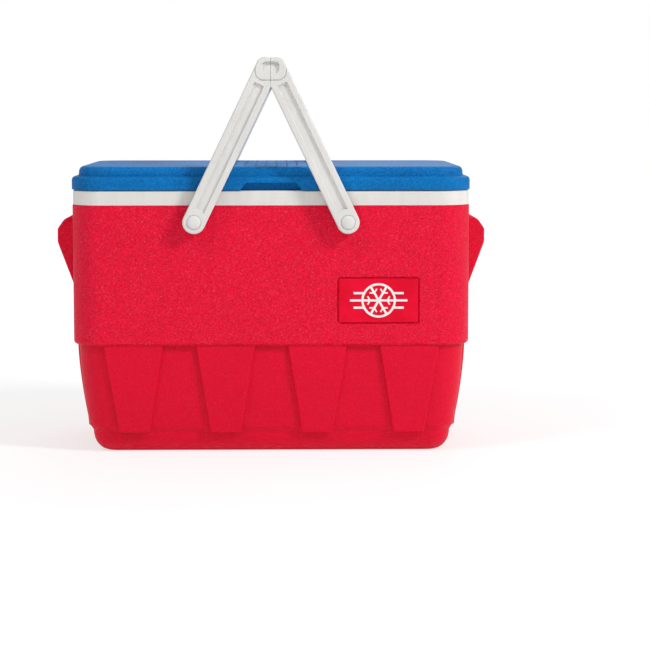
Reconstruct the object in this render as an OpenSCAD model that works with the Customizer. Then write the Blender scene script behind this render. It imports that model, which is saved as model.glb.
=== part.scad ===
// Insulated picnic cooler chest with a hinged lid and two swing handles.
// Origin: centre of the footprint on the floor. +X to the right, -Y to the front, +Z up.

/* [Body] */
// Width of the body across its upper walls
body_w = 440; // [360:1:540]
// Depth of the body across its upper walls
body_d = 274; // [220:1:340]
// Height of the rim that the lid closes on
rim_z = 292; // [250:1:360]
// Height of the rim's collar band
collar_h = 16; // [12:1:20]
// Height of the step between the upper and lower walls
step_z = 121; // [90:1:140]
// How far the lower walls stand in at the step
step_in = 6; // [4:0.5:10]
// How far the lower walls stand in above the base
lower_in = 16; // [12:0.5:20]
// Corner radius of the body seen from above
plan_r = 35; // [26:1:44]
// Wall thickness of the outer shell
shell_t = 2.4; // [2:0.1:3]

/* [Base] */
// Height of the base below the panels
base_h = 23.5; // [16:0.5:26]
// How far the base stands in at its top
base_in = 20; // [18:1:24]
// How far the flat underside stands in
foot_in = 37; // [34:1:44]

/* [Panels] */
// Panels on the front and on the back
panels_long = 4; // [2:1:5]
// Panels on each end
panels_short = 2; // [1:1:3]
// Distance between panel centres
panel_pitch = 101.5; // [70:0.5:110]
// Width of a panel at its top
panel_top_w = 65.5; // [40:0.5:68]
// Width of a panel at its foot
panel_foot_w = 34; // [20:0.5:40]
// How far a panel stands proud at its foot
panel_proud = 3.5; // [2:0.1:4]

/* [Ears] */
// Width of a side ear along the end wall
ear_w = 150; // [110:1:170]
// How far a side ear stands out
ear_out = 20; // [18:0.5:26]
// How far the ear's lower tip lies below the collar
ear_low_drop = 100; // [90:1:110]
// How far below the collar the ear's taper starts
ear_mid_drop = 44; // [40:1:50]
// Thickness of the lip that the fingers hook
ear_lip_t = 4; // [3:0.5:5]
// Thickness of the ear's two cheeks
ear_cheek_t = 14; // [6:1:20]

/* [Liner] */
// Wall thickness of the liner
liner_t = 2; // [1.6:0.1:2.4]
// Distance from the body's outside to the mouth of the tub
mouth_in = 20; // [18:1:24]
// How far the tub has narrowed just above its floor
tub_low_in = 31; // [28:1:36]
// Height of the tub's floor
floor_z = 26; // [23:1:34]
// Radius between the tub's wall and its floor
tub_fillet = 12; // [8:1:16]

/* [Lid] */
// Gap between the rim and the closed lid
lid_gap = 0.3; // [0.2:0.1:0.5]
// Height of the lid's lower band
band_h = 15; // [12:1:18]
// Height of the lid's upper tier
tier_h = 11; // [9:1:14]
// How far the upper tier stands in
tier_in = 7; // [5:0.5:9]
// How far the lid stands out past the body
lid_over = 0.5; // [0.3:0.1:1]
// Wall thickness of the lid
lid_t = 2.4; // [2:0.1:3]
// How far the lid's plug reaches into the tub
plug_h = 7; // [5:0.5:9]
// Clearance around the lid's plug
plug_gap = 3; // [2:0.5:4]
// Number of grooves across the middle of the lid
lid_grooves = 8; // [4:2:12]
// Distance between the lid's grooves
groove_pitch = 11.5; // [9:0.5:12]
// Width of the finger notch at its top
notch_top_w = 54; // [44:1:60]
// Width of the finger notch at its foot
notch_foot_w = 72; // [62:1:80]
// Depth of the finger notch
notch_depth = 6; // [4:0.5:8]

/* [Handles] */
// Distance of each handle pivot from the middle
pivot_x = 84; // [80:0.5:100]
// How far the pivots lie below the collar
pivot_drop = 18; // [17:0.5:24]
// Height of the grips above the pivots
grip_rise = 164; // [150:0.5:190]
// Width of a handle arm
arm_w = 25; // [23:0.5:26]
// Thickness of a handle arm
arm_t = 9; // [8:0.5:10]
// Gap between the body and a handle arm
arm_gap = 5; // [5:0.5:8]
// Radius of the round grip that the two handles form
grip_r = 14.8; // [13:0.1:17]
// Gap between the two closed handles
parting_gap = 0.5; // [0.3:0.1:1]
// Radius of the pivot pins
pin_r = 5; // [4:0.1:6]
// Radial clearance of the pins in the handles
running_clear = 0.05; // [0.02:0.01:0.1]

/* [Badge] */
// Width of the badge recess
badge_w = 90; // [70:1:100]
// Height of the badge recess
badge_h = 51; // [40:1:60]
// Distance of the badge from the middle
badge_x = 118; // [110:1:122]
// Height of the badge's middle
badge_z = 171.5; // [160:0.5:178]
// Width of the groove around the badge plate
badge_groove = 1.5; // [1:0.1:2]

/* [Hinge] */
// Width of the hinge
hinge_w = 76; // [60:1:80]
// Radius of the hinge knuckles
knuckle_r = 3.8; // [3.4:0.1:4]
// Radius of the hinge pin
hinge_pin_r = 2; // [1.6:0.1:2.2]
// Thickness of the hinge leaves
leaf_t = 2.4; // [2:0.1:2.8]
// Distance of the hinge screws from the middle
screw_x = 26; // [20:1:28]

/* [Hidden] */

red = "crimson";
blue = "royalblue";
white = "whitesmoke";
steel = "silver";

seat_gap = 0.2;
half_w = body_w / 2;
half_d = body_d / 2;
shell_z = rim_z - collar_h;
corner_steps = 8;
corner_follow = 0.6;
smallest_r = 6;
past = 1;

// Lower wall and base profile
edge_r = 4;
base_chamfer_h = 6;
base_round = 6;
lower_steps = 6;
lower_curve = 1.7;
lower_foot_z = base_h + base_chamfer_h;

// Panels
panel_back = 1.2;
panel_top_proud = 2.5;

// Ears
ear_top_z = shell_z - 13;
ear_shoulder_z = shell_z - 18;
ear_shoulder_out = ear_out * 0.6;
ear_side_z = shell_z - 29;
ear_mid_z = shell_z - ear_mid_drop;
ear_low_z = shell_z - ear_low_drop;
ear_pocket_top = shell_z - 33;
ear_lip_z = ear_mid_z - 14;

// Collar and lid
rim_r = 1.5;
lid_z = rim_z + lid_gap;
tier_z = lid_z + band_h;
lid_top_z = tier_z + tier_h;
band_r = 4;
tier_r = 7;
lid_inner_in = lid_t + seat_gap - lid_over;
plug_in = mouth_in + plug_gap;
plug_w = 8;
pan_h = 6;
pan_t = 2;
well_r = 6;
well_wall = 1.6;
well_h = 8;
wells = [
    [98, 51], [98, -51], [-98, 51], [-98, -51],
    [0, 68], [0, -68], [149, 0], [-149, 0]
];
groove_w = 2;
groove_depth = 1;
groove_end = 26;
notch_h = 8.5;

// Handles and pivots
pivot_z = shell_z - pivot_drop;
grip_z = pivot_z + grip_rise;
hub_r = arm_w / 2;
arm_end_x = 5.5;
arm_tilt = atan((pivot_x - arm_end_x) / grip_rise);
grip_corner_r = 7;
grip_corner_z = grip_z + grip_r - grip_corner_r;
grip_corner_x = arm_end_x - (grip_corner_z - grip_z) * tan(arm_tilt)
    + (arm_w / 2 - grip_corner_r) / cos(arm_tilt);
arm_reach = norm([pivot_x - arm_end_x, grip_rise]);
channel_w = arm_w - 13;
channel_depth = 3;
channel_start = hub_r + 2.5;
channel_end = arm_reach - 21;
boss_r = grip_r - 0.5;
boss_h = 0.8;
pocket_r = grip_r - 5.5;
pocket_depth = 2.5;
arm_face = arm_gap + arm_t;
head_r = 8.5;
head_sink = 2.2;
head_rise = 2;
head_gap = 0.3;
socket_flange_r = 11;
socket_r = 8;
socket_depth = 15;
socket_floor = 1.7;
hole_gap = 0.1;

// Badge
badge_r = 3;
badge_sink = 1;
badge_plate_t = 1.4;
emblem_t = 0.6;
emblem_r = 19;
emblem_line = 2.4;
stripe_l = 15;
stripe_pitch = 8;

// Hinge
hinge_y = half_d + 5;
hinge_z = rim_z;
knuckle_gap = 0.3;
knuckle_split = hinge_w * 0.18;
leaf_clear = knuckle_r + knuckle_gap;
body_leaf_h = 20;
lid_leaf_h = 9;
screw_r = 1.6;
screw_head_r = 3;
screw_head_h = 1.6;
screw_l = 12;
body_screw_z = hinge_z - leaf_clear - 6;
lid_screw_z = hinge_z + leaf_clear + 4.5;

// One level of the plan, as a rounded rectangle that stands in by inset
function plan_ring(z, inset) =
    let (
        r = max(plan_r - corner_follow * inset, smallest_r),
        x = half_w - inset - r,
        y = half_d - inset - r
    )
    [
        for (q = [0:3], i = [0:corner_steps])
            let (
                a = 90 * (q + i / corner_steps),
                side_x = (q == 0 || q == 3) ? 1 : -1,
                side_y = (q < 2) ? 1 : -1
            )
            [side_x * x + r * cos(a), side_y * y + r * sin(a), z]
    ];

// Quarter arc of levels that turns from a flat underside up to a wall
function rise_arc(z, inset, rx, rz, steps) =
    [for (i = [0:steps]) let (a = 90 * i / steps) [z + rz * (1 - cos(a)), inset - rx * sin(a)]];

// Quarter arc of levels that turns from a wall over to a flat top
function crown_arc(z, inset, r, steps) =
    [for (i = [0:steps]) let (a = 90 * i / steps) [z + r * sin(a), inset + r * (1 - cos(a))]];

// How far the lower wall stands in at height z
function lower_wall_in(z) =
    step_in + (lower_in - step_in) * pow((step_z - z) / (step_z - lower_foot_z), lower_curve);

// Solid through a list of [height, inset] levels, from the lowest up
module loft(levels) {
    rings = [for (l = levels) plan_ring(l[0], l[1])];
    n = len(rings[0]);
    top = (len(rings) - 1) * n;
    points = [for (r = rings) each r];
    sides = [
        for (k = [0:len(rings) - 2], i = [0:n - 1])
            let (j = (i + 1) % n, low = k * n, high = low + n)
            [low + i, high + i, high + j, low + j]
    ];
    floor_face = [for (i = [0:n - 1]) i];
    top_face = [for (i = [0:n - 1]) top + n - 1 - i];
    polyhedron(points, concat([floor_face], sides, [top_face]));
}

shell_levels = concat(
    rise_arc(0, foot_in, foot_in - base_in, base_h, base_round),
    [for (i = [lower_steps:-1:0])
        let (z = step_z - (step_z - lower_foot_z) * i / lower_steps) [z, lower_wall_in(z)]],
    [[step_z + 0.2, edge_r * 0.7]],
    [[step_z + edge_r, 0.6], [step_z + 2 * edge_r, 0], [shell_z, 0]]
);

// The shell's levels moved in by t, and up by t below the step
function shell_inside(t, top_z) =
    concat([for (l = shell_levels) if (l[0] < shell_z) [l[0] + t, l[1] + t]], [[top_z, t]]);

tub_levels = concat(
    rise_arc(floor_z, tub_low_in + tub_fillet, tub_fillet, tub_fillet, 4),
    [[rim_z, mouth_in]]
);

// The tub's levels moved out by t, open or closed at top_z
function tub_outside(t, top_z) =
    concat([for (l = tub_levels) if (l[0] < rim_z) [l[0] - t, l[1] - t]], [[top_z, mouth_in - t]]);

// Places children at a pivot with +Z pointing out of the wall
module at_pivot(side, face) {
    translate([side * pivot_x, face * half_d, pivot_z])
        rotate([-face * 90, 0, 0])
            children();
}

// Trapezoid panel on a wall whose outside faces -Y at distance reach
module wall_panel(reach) {
    top_y = reach - step_in;
    foot_y = reach - lower_in;
    z = [base_h, step_z];
    w = [panel_foot_w / 2, panel_top_w / 2];
    front = [-foot_y - panel_proud, -top_y - panel_top_proud];
    back = [-foot_y + panel_back, -top_y + panel_back];
    points = [
        [-w[0], front[0], z[0]], [w[0], front[0], z[0]],
        [w[1], front[1], z[1]], [-w[1], front[1], z[1]],
        [-w[0], back[0], z[0]], [w[0], back[0], z[0]],
        [w[1], back[1], z[1]], [-w[1], back[1], z[1]]
    ];
    polyhedron(points, [
        [0, 3, 2, 1], [4, 5, 6, 7], [0, 1, 5, 4], [3, 7, 6, 2], [0, 4, 7, 3], [1, 2, 6, 5]
    ]);
}

module panels() {
    for (turn = [0, 180], i = [0:panels_long - 1])
        rotate(turn)
            translate([(i - (panels_long - 1) / 2) * panel_pitch, 0, 0])
                wall_panel(half_d);
    for (turn = [90, 270], i = [0:panels_short - 1])
        rotate(turn)
            translate([(i - (panels_short - 1) / 2) * panel_pitch, 0, 0])
                wall_panel(half_w);
}

// Side ear on the +X wall, hollow from below so that fingers hook behind its lip
module ear() {
    root = -shell_t / 2;
    outside = [
        [root, ear_low_z], [0, ear_low_z], [ear_out, ear_mid_z], [ear_out, ear_side_z],
        [ear_shoulder_out, ear_shoulder_z], [0, ear_top_z], [root, ear_top_z]
    ];
    hollow = [
        [0, ear_low_z - past], [ear_out + past, ear_low_z - past],
        [ear_out + past, ear_lip_z], [ear_out - ear_lip_t, ear_lip_z],
        [ear_out - ear_lip_t, ear_pocket_top], [0, ear_pocket_top]
    ];
    translate([half_w, 0, 0])
        rotate([90, 0, 0])
            difference() {
                linear_extrude(ear_w, center = true) polygon(outside);
                linear_extrude(ear_w - 2 * ear_cheek_t, center = true) polygon(hollow);
            }
}

module rounded_plate(w, h, r, t) {
    linear_extrude(t)
        offset(r, $fn = 32)
            square([w - 2 * r, h - 2 * r], center = true);
}

// Places children on the front wall at the badge, with +Z pointing out
module at_badge() {
    translate([badge_x, -half_d, badge_z])
        rotate([90, 0, 0])
            children();
}

module outer_shell() {
    color(red)
        difference() {
            union() {
                loft(shell_levels);
                panels();
                ear();
                mirror([1, 0, 0]) ear();
            }
            loft(shell_inside(shell_t, shell_z + past));
            for (side = [-1, 1], face = [-1, 1])
                at_pivot(side, face)
                    translate([0, 0, -2 * shell_t])
                        cylinder(r = socket_r + hole_gap, h = 3 * shell_t, $fn = 64);
            at_badge()
                translate([0, 0, -badge_sink])
                    rounded_plate(badge_w, badge_h, badge_r, badge_sink + past);
        }
}

module foam_core() {
    t = shell_t + seat_gap;
    color("khaki")
        difference() {
            union() {
                loft(shell_inside(t, shell_z));
                loft([[shell_z - past, t], [rim_z - liner_t - seat_gap, t]]);
            }
            loft(tub_outside(liner_t + seat_gap, rim_z));
            for (side = [-1, 1], face = [-1, 1])
                at_pivot(side, face)
                    translate([0, 0, -socket_depth - socket_floor - hole_gap])
                        cylinder(r = socket_r + hole_gap, h = socket_depth + socket_floor, $fn = 64);
            for (side = [-1, 1])
                translate([side * screw_x, half_d, body_screw_z])
                    rotate([90, 0, 0])
                        cylinder(r = screw_r + hole_gap, h = screw_l + past, $fn = 24);
        }
}

module inner_liner() {
    color(white)
        difference() {
            union() {
                difference() {
                    loft(concat([[shell_z, seat_gap], [rim_z - rim_r, seat_gap]],
                        crown_arc(rim_z - rim_r, seat_gap, rim_r, 3)));
                    loft([[shell_z - past, shell_t], [rim_z - liner_t, shell_t]]);
                }
                loft(tub_outside(liner_t, rim_z - liner_t / 2));
            }
            loft(concat([for (l = tub_levels) if (l[0] < rim_z) l], [[rim_z + past, mouth_in]]));
            for (side = [-1, 1])
                translate([side * screw_x, half_d + past, body_screw_z])
                    rotate([90, 0, 0])
                        cylinder(r = screw_r + hole_gap, h = 5, $fn = 24);
        }
}

// Finger notch in the front of the lid's band, grown by extra on its hidden sides
module lid_notch(extra) {
    outline = [
        [-notch_foot_w / 2 - extra, -past], [notch_foot_w / 2 + extra, -past],
        [notch_top_w / 2 + extra, notch_h + extra], [-notch_top_w / 2 - extra, notch_h + extra]
    ];
    translate([0, notch_depth + extra - half_d, lid_z])
        rotate([90, 0, 0])
            linear_extrude(notch_depth + extra + lid_over + past)
                polygon(outline);
}

module lid_cap() {
    inner_top_in = tier_in + lid_t + tier_r / 2;
    color(blue)
        difference() {
            loft(concat(
                [[lid_z, rim_r - lid_over], [lid_z + rim_r, -lid_over]],
                crown_arc(tier_z - band_r, -lid_over, band_r, 4),
                [[tier_z + 0.1, tier_in]],
                crown_arc(lid_top_z - tier_r, tier_in, tier_r, 5)
            ));
            difference() {
                loft([
                    [lid_z - past, lid_t - lid_over], [tier_z - band_r, lid_t - lid_over],
                    [tier_z - lid_t, tier_in + lid_t], [lid_top_z - tier_r, tier_in + lid_t],
                    [lid_top_z - lid_t, inner_top_in]
                ]);
                lid_notch(lid_t);
            }
            lid_notch(0);
            for (i = [0:lid_grooves - 1])
                translate([(i - (lid_grooves - 1) / 2) * groove_pitch, 0, lid_top_z])
                    cube([groove_w, body_d - 2 * groove_end, 2 * groove_depth], center = true);
            for (side = [-1, 1])
                translate([side * screw_x, half_d + past, lid_screw_z])
                    rotate([90, 0, 0])
                        cylinder(r = screw_r + hole_gap, h = 5, $fn = 24);
        }
}

module lid_pan() {
    color(blue)
        difference() {
            union() {
                difference() {
                    loft([[lid_z, lid_inner_in], [lid_z + pan_h, lid_inner_in]]);
                    translate([0, 0, -seat_gap]) lid_notch(lid_t + seat_gap);
                    translate([0, 0, seat_gap]) lid_notch(lid_t + seat_gap);
                }
                loft([
                    [lid_z - plug_h, plug_in + 2], [lid_z - plug_h + 2, plug_in],
                    [lid_z + past, plug_in]
                ]);
                for (p = wells)
                    translate([p[0], p[1], lid_z + pan_h - pan_t])
                        cylinder(r = well_r + well_wall, h = well_h + well_wall, $fn = 48);
            }
            loft([
                [lid_z - plug_h - past, plug_in + plug_w - 1],
                [lid_z + pan_h - pan_t, plug_in + plug_w + 1]
            ]);
            for (p = wells)
                translate([p[0], p[1], lid_z])
                    cylinder(r = well_r, h = pan_h - pan_t + well_h, $fn = 48);
        }
}

module lid_foam() {
    low_z = lid_z + pan_h + seat_gap;
    t = lid_t + seat_gap;
    color("khaki")
        difference() {
            loft([
                [low_z, t - lid_over], [tier_z - band_r, t - lid_over],
                [tier_z - t, tier_in + t], [lid_top_z - tier_r, tier_in + t],
                [lid_top_z - t, tier_in + t + tier_r / 2]
            ]);
            lid_notch(t);
            for (p = wells)
                translate([p[0], p[1], lid_z])
                    cylinder(r = well_r + well_wall + hole_gap,
                        h = pan_h - pan_t + well_h + well_wall + hole_gap, $fn = 48);
            for (side = [-1, 1])
                translate([side * screw_x, half_d, lid_screw_z])
                    rotate([90, 0, 0])
                        cylinder(r = screw_r + hole_gap, h = screw_l + past, $fn = 24);
        }
}

// Outline of the right-hand arm, drawn as X and Z
module arm_outline() {
    intersection() {
        hull() {
            translate([pivot_x, pivot_z]) circle(hub_r, $fn = 48);
            translate([arm_end_x, grip_z]) circle(arm_w / 2, $fn = 48);
            translate([grip_corner_x, grip_corner_z]) circle(grip_corner_r, $fn = 48);
        }
        translate([parting_gap / 2, pivot_z - 2 * hub_r])
            square([pivot_x + 2 * hub_r, grip_rise + 4 * hub_r]);
    }
}

// Half disc around the grip's centre on the right-hand side
module half_disc(r, h) {
    intersection() {
        cylinder(r = r, h = h, $fn = 96);
        translate([parting_gap / 2, -2 * r, -past]) cube([2 * r, 4 * r, h + 2 * past]);
    }
}

// Front arm of the right-hand handle, in its own plane with +Z pointing out
module arm() {
    difference() {
        union() {
            translate([0, 0, arm_gap]) linear_extrude(arm_t) arm_outline();
            translate([0, grip_z, arm_gap]) half_disc(boss_r, arm_t + boss_h);
        }
        translate([pivot_x, pivot_z, arm_gap - past])
            cylinder(r = pin_r + running_clear, h = arm_t + 2 * past, $fn = 64);
        translate([pivot_x, pivot_z, arm_face - head_sink])
            cylinder(r = head_r + head_gap, h = head_sink + past, $fn = 64);
        translate([pivot_x, pivot_z, arm_face - channel_depth])
            rotate(arm_tilt)
                translate([-channel_w / 2, channel_start, 0])
                    cube([channel_w, channel_end - channel_start, channel_depth + past]);
        translate([0, grip_z, arm_face + boss_h - pocket_depth])
            half_disc(pocket_r, pocket_depth + past);
    }
}

module handle() {
    translate([0, -half_d, 0]) rotate([90, 0, 0]) arm();
    mirror([0, 1, 0]) translate([0, -half_d, 0]) rotate([90, 0, 0]) arm();
    translate([0, half_d + arm_gap + past, grip_z])
        rotate([90, 0, 0])
            half_disc(grip_r, body_d + 2 * arm_gap + 2 * past);
}

module right_handle() {
    color(white) handle();
}

module left_handle() {
    color(white) mirror([1, 0, 0]) handle();
}

module pivot_socket(side, face) {
    color(white)
        at_pivot(side, face)
            difference() {
                union() {
                    cylinder(r = socket_flange_r, h = arm_gap - head_gap, $fn = 64);
                    translate([0, 0, -socket_depth - socket_floor])
                        cylinder(r = socket_r, h = socket_depth + socket_floor + past, $fn = 64);
                }
                translate([0, 0, -socket_depth])
                    cylinder(r = pin_r + running_clear / 2, h = socket_depth + arm_gap, $fn = 64);
            }
}

module pivot_pin(side, face) {
    seat = arm_face - head_sink + head_gap;
    crown = arm_face + head_rise;
    color(white)
        at_pivot(side, face)
            rotate_extrude($fn = 64)
                polygon([
                    [0, -socket_depth], [pin_r, -socket_depth], [pin_r, seat], [head_r, seat],
                    [head_r, crown - 2], [head_r * 0.93, crown - 1],
                    [head_r * 0.7, crown - 0.3], [0, crown]
                ]);
}

module badge_plate() {
    color("firebrick")
        at_badge()
            translate([0, 0, -badge_sink])
                rounded_plate(badge_w - 2 * badge_groove, badge_h - 2 * badge_groove,
                    badge_r - badge_groove / 2, badge_plate_t);
}

// Snowflake in a ring, with three stripes on each side
module badge_emblem() {
    color("white")
        at_badge()
            translate([0, 0, badge_plate_t - badge_sink])
                linear_extrude(emblem_t) {
                    difference() {
                        circle(emblem_r, $fn = 96);
                        circle(emblem_r - emblem_line, $fn = 96);
                    }
                    for (a = [0:60:300])
                        rotate(a) {
                            translate([0, -emblem_line / 2])
                                square([emblem_r - emblem_line / 2, emblem_line]);
                            for (fold = [-1, 1])
                                translate([emblem_r * 0.5, 0])
                                    rotate(fold * 60)
                                        translate([0, -emblem_line / 3])
                                            square([emblem_r * 0.28, emblem_line * 2 / 3]);
                        }
                    for (side = [0, 180], row = [-1:1])
                        rotate(side)
                            translate([emblem_r - emblem_line - 2 * abs(row),
                                row * stripe_pitch - emblem_line / 2])
                                square([stripe_l - 2 * abs(row), emblem_line]);
                }
}

// Knuckle of the hinge between two places along X, joined to a leaf above or below it
module knuckle(from_x, to_x, up) {
    translate([from_x, hinge_y, hinge_z])
        rotate([0, 90, 0])
            cylinder(r = knuckle_r, h = to_x - from_x, $fn = 48);
    web_y = half_d + lid_over + knuckle_gap;
    translate([from_x, web_y, up ? hinge_z : hinge_z - leaf_clear - past])
        cube([to_x - from_x, leaf_t, leaf_clear + past]);
}

module hinge_bore() {
    translate([-hinge_w, hinge_y, hinge_z])
        rotate([0, 90, 0])
            cylinder(r = hinge_pin_r + running_clear, h = 2 * hinge_w, $fn = 48);
}

module hinge_body_leaf() {
    color(steel)
        difference() {
            union() {
                knuckle(-hinge_w / 2, -knuckle_split, false);
                knuckle(knuckle_split, hinge_w / 2, false);
                translate([-hinge_w / 2, half_d, hinge_z - leaf_clear - body_leaf_h])
                    cube([hinge_w, leaf_t + lid_over + knuckle_gap, body_leaf_h]);
            }
            hinge_bore();
            for (side = [-1, 1])
                translate([side * screw_x, half_d + 2 * leaf_t, body_screw_z])
                    rotate([90, 0, 0])
                        cylinder(r = screw_r + hole_gap, h = 3 * leaf_t, $fn = 24);
        }
}

module hinge_lid_leaf() {
    color(steel)
        difference() {
            union() {
                knuckle(-knuckle_split + knuckle_gap, knuckle_split - knuckle_gap, true);
                translate([-hinge_w / 2, half_d + lid_over, hinge_z + leaf_clear])
                    cube([hinge_w, leaf_t + knuckle_gap, lid_leaf_h]);
            }
            hinge_bore();
            for (side = [-1, 1])
                translate([side * screw_x, half_d + 2 * leaf_t, lid_screw_z])
                    rotate([90, 0, 0])
                        cylinder(r = screw_r + hole_gap, h = 3 * leaf_t, $fn = 24);
        }
}

module hinge_pin() {
    color(steel)
        translate([-hinge_w / 2, hinge_y, hinge_z])
            rotate([0, 90, 0])
                cylinder(r = hinge_pin_r, h = hinge_w, $fn = 48);
}

// Pan-head screw that enters the rear wall at height z, with its head on a leaf
module hinge_screw(side, z, seat_y) {
    color(steel)
        translate([side * screw_x, seat_y, z])
            rotate([-90, 0, 0])
                rotate_extrude($fn = 48)
                    polygon([
                        [0, -screw_l], [screw_r, -screw_l], [screw_r, 0], [screw_head_r, 0],
                        [screw_head_r, screw_head_h * 0.6], [screw_head_r * 0.7, screw_head_h],
                        [0, screw_head_h]
                    ]);
}

body_seat_y = half_d + leaf_t + lid_over + knuckle_gap;

outer_shell();
foam_core();
inner_liner();
lid_cap();
lid_foam();
lid_pan();
left_handle();
right_handle();
pivot_socket(-1, -1);  // pivot_socket_fl
pivot_socket(1, -1);  // pivot_socket_fr
pivot_socket(-1, 1);  // pivot_socket_bl
pivot_socket(1, 1);  // pivot_socket_br
pivot_pin(-1, -1);  // pivot_pin_fl
pivot_pin(1, -1);  // pivot_pin_fr
pivot_pin(-1, 1);  // pivot_pin_bl
pivot_pin(1, 1);  // pivot_pin_br
badge_plate();
badge_emblem();
hinge_body_leaf();
hinge_lid_leaf();
hinge_pin();
hinge_screw(-1, body_screw_z, body_seat_y);  // body_screw_l
hinge_screw(1, body_screw_z, body_seat_y);  // body_screw_r
hinge_screw(-1, lid_screw_z, body_seat_y);  // lid_screw_l
hinge_screw(1, lid_screw_z, body_seat_y);  // lid_screw_r
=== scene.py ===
"""Insulated picnic cooler chest: red body, white liner, blue lid and two white swing handles."""
import math

import bmesh
import bpy
from mathutils import Matrix, Vector


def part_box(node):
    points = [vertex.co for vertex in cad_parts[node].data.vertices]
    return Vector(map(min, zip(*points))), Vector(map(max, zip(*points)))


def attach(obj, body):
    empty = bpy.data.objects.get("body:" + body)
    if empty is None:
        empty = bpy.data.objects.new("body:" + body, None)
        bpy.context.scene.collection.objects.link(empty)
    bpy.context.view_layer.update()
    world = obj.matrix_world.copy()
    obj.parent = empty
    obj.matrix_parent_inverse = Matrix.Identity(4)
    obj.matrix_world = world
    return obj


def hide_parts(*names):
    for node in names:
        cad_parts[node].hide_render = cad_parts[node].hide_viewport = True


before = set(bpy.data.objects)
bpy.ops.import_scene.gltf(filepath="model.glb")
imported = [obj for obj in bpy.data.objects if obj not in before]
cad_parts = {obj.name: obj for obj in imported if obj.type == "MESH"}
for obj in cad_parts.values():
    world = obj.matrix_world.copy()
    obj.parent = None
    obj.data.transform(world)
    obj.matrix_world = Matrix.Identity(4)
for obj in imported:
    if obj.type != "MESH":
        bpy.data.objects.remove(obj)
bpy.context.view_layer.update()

MM = 0.001


# ---------------------------------------------------------------------------
# Sizes in millimetres. Places come from the frame, small details are set here.
# ---------------------------------------------------------------------------
def node_box(node):
    """Lowest and highest corner of a CAD node at rest."""
    low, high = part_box(node)
    return Vector(low) / MM, Vector(high) / MM


_, shell_top = node_box("outer_shell")
_, rim_top = node_box("inner_liner")
lid_foot, lid_top = node_box("lid_cap")
pin_low, pin_high = node_box("pivot_pin_fr")
_, grip_top = node_box("right_handle")
plate_low, plate_high = node_box("badge_plate")

# Body
SHELL_Z = shell_top.z
HALF_D = shell_top.y
EAR_X = shell_top.x
RIM_Z = rim_top.z
HALF_W = rim_top.x + 0.2
PLAN_R = 35
CORNER_FOLLOW = 0.6
SMALLEST_R = 6
WALL = 2.4
STEP_Z = 121
STEP_IN = 6
STEP_R = 4.2
LOWER_IN = 16
LOWER_CURVE = 1.7
LOWER_FOOT_Z = 29.5
BASE_H = 23.5
BASE_IN = 20
FOOT_IN = 37
BASE_CREASE_H = 0.6
BASE_CREASE_IN = 0.3
FOOT_CREASE_H = 0.8
FOOT_CREASE_IN = 0.5
SHELL_EDGE_R = 1.2

# Panels
PANEL_PITCH = 101.5
PANEL_TOP_W = 65.5
PANEL_FOOT_W = 34
PANEL_PROUD = 3.6
PANEL_SOFT = 1.4
PANEL_OVERLAP = 0.6

# Ears
EAR_W = 150
EAR_OUT = EAR_X - HALF_W
EAR_LOW_Z = SHELL_Z - 101
EAR_MID_Z = SHELL_Z - 44
EAR_SIDE_Z = SHELL_Z - 29
EAR_SHOULDER_Z = SHELL_Z - 18
EAR_TOP_Z = SHELL_Z - 12.5
EAR_SHOULDER_OUT = 0.62 * EAR_OUT
EAR_BEND_R = 10
EAR_NOSE_R = 4
EAR_SOFT = 2.2
EAR_LIP_T = 4
EAR_LIP_Z = EAR_MID_Z - 14
EAR_LIP_R = 1.2
EAR_POCKET_Z = SHELL_Z - 33
EAR_POCKET_R = 4
EAR_POCKET_SOFT = 2.5
EAR_POCKET_PAST = 9
EAR_CHEEK = 14

# Liner
LINER_T = 2
COLLAR_IN = 0.7
RIM_R = 1.8
MOUTH_IN = 20
TUB_LOW_IN = 31
FLOOR_Z = 26
TUB_FILLET = 12

# Lid
LID_Z = lid_foot.z
LID_TOP = lid_top.z
LID_OVER = 0.5
LID_T = 2.4
LID_LIP_R = 1.1
TIER_Z = LID_Z + 15
TIER_IN = 7
TIER_LEAN = 0.4
TIER_CREASE_R = 0.8
BAND_R = 4.5
TIER_R = 6
GROOVES = 8
GROOVE_PITCH = 11.5
GROOVE_W = 2.2
GROOVE_DEPTH = 1
GROOVE_SOFT = 0.45
GROOVE_REACH = HALF_D - 26
NOTCH_H = 8.5
NOTCH_TOP = 27
NOTCH_FOOT = 36
NOTCH_DEEP = 7.4
NOTCH_R = 1.5
RIDGE_IN = 23
RIDGE_W = 8
RIDGE_H = 7
RIDGE_R = 2.5
RIDGE_LEAN = 0.8
PAN_T = 2
PAN_H = 6
PAN_GAP = 0.2
PAN_EDGE_R = 0.8
WELL_R = 6
WELL_H = 8
WELL_FLARE = 1.4
WELL_FLOOR_R = 1.5
CUP_T = 1.6
WELLS = ((98, 51), (98, -51), (-98, 51), (-98, -51), (0, 68), (0, -68), (149, 0), (-149, 0))
STAR_CLEAR = 11
STAR_WAIST_X = 58
STAR_WAIST_Y = 38
STAR_RISE = 0.7
STAR_T = 0.9
STAR_STEPS = 6

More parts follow.
